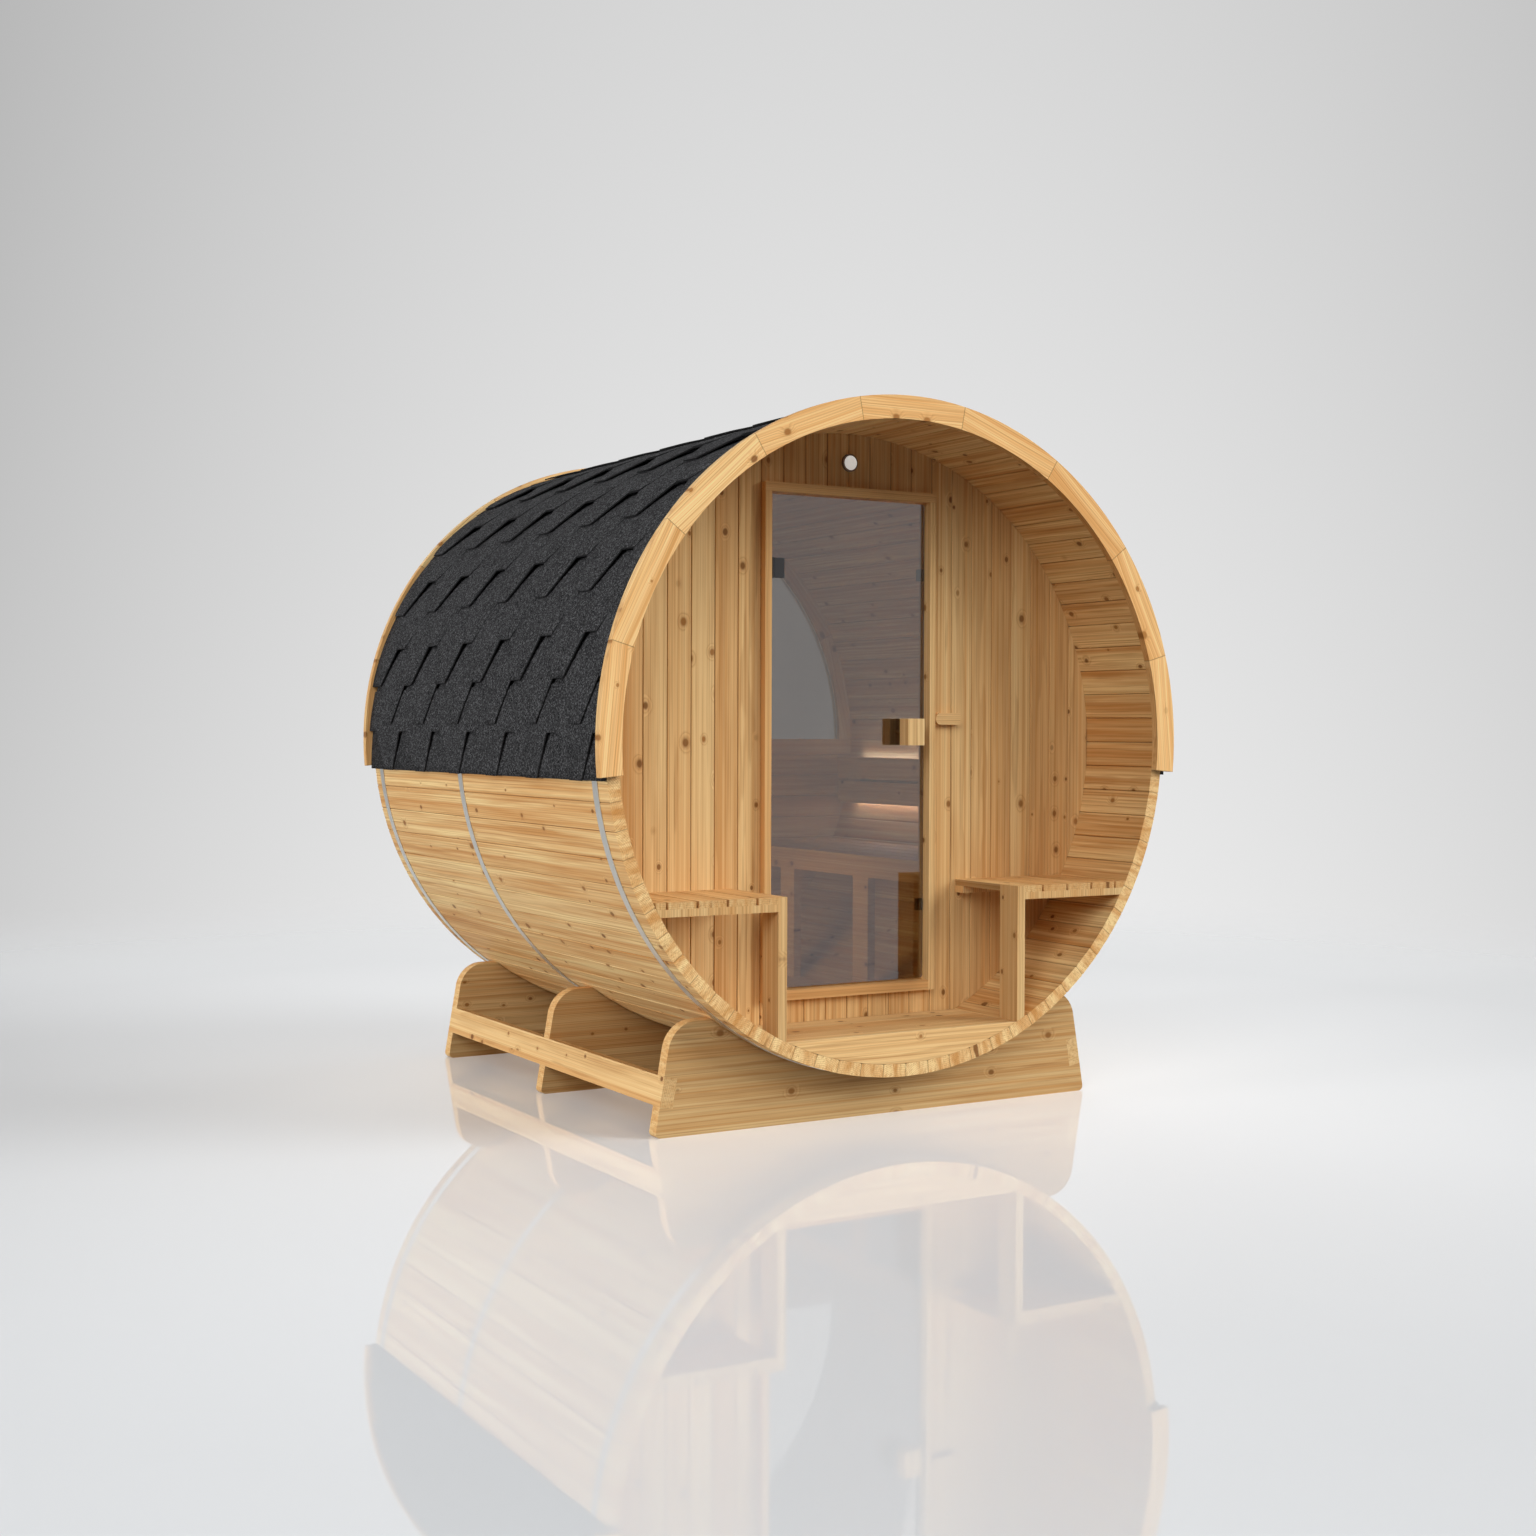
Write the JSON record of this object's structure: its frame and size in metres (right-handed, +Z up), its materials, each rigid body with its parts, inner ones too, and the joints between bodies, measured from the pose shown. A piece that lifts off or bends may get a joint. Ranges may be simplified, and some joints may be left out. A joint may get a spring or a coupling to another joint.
{
  "type": "barrel sauna",
  "caption": "Round barrel sauna of wooden staves on cradles, shingled above and bound with steel bands, with a glass-doored seated porch and a half-moon rear window.",
  "frame": {"origin": "on the ground under the middle of the barrel", "axes": "+Z up, porch and door face -Y, +X to the right of someone looking at the door"},
  "size_m": [2.2478, 2.102, 2.3578],
  "materials": {
    "stave_wood": "planed softwood with knots",
    "cradle_wood": "planed softwood",
    "wall_wood": "planed softwood with knots",
    "trim_wood": "planed softwood",
    "porch_wood": "planed softwood",
    "cabin_wood": "planed softwood",
    "handle_wood": "planed softwood",
    "band_steel": "rolled stainless",
    "roof_shingle": "mineral granules",
    "window_glass": "tinted clear",
    "door_glass": "tinted clear",
    "hinge_metal": "satin",
    "vent_plastic": "moulded"
  },
  "bodies": {
    "sauna": {"floor_staves": "stave_wood", "left_staves": "stave_wood", "right_staves": "stave_wood", "roof_staves": "stave_wood", "front_cradle": "cradle_wood", "middle_cradle": "cradle_wood", "rear_cradle": "cradle_wood", "left_cradle_rail": "cradle_wood", "right_cradle_rail": "cradle_wood", "front_wall_left": "wall_wood", "front_wall_right": "wall_wood", "front_wall_header": "wall_wood", "front_wall_sill": "wall_wood", "rear_wall_boards": "wall_wood", "door_left_jamb": "trim_wood", "door_right_jamb": "trim_wood", "door_head": "trim_wood", "door_sill": "trim_wood", "rear_window_arch": "trim_wood", "rear_window_rail": "trim_wood", "front_trim_arc": "trim_wood", "rear_trim_arc": "trim_wood", "porch_floor": "porch_wood", "porch_floor_fascia": "porch_wood", "left_seat_boards": "porch_wood", "left_seat_frame": "porch_wood", "right_seat_boards": "porch_wood", "right_seat_frame": "porch_wood", "door_rest_block": "porch_wood", "cabin_floor": "cabin_wood", "cabin_bench_seat": "cabin_wood", "cabin_bench_frame": "cabin_wood", "cabin_backrest": "cabin_wood", "front_band": "band_steel", "middle_band": "band_steel", "rear_band": "band_steel", "left_roof_shingles": "roof_shingle", "right_roof_shingles": "roof_shingle", "rear_window_glass": "window_glass", "door_hinge_plates": "hinge_metal", "door_catches": "hinge_metal", "wall_vent": "vent_plastic"},
    "door": {"door_glass": "door_glass", "door_handles": "handle_wood", "door_hinge_clamps": "hinge_metal"}
  },
  "joints": [
    {"name": "door_hinge", "type": "hinge", "parent": "sauna", "child": "door", "pos_m": [-0.306, -0.674, 1.2405], "axis": [0, 0, -1], "range_deg": [0, 100]}
  ]
}
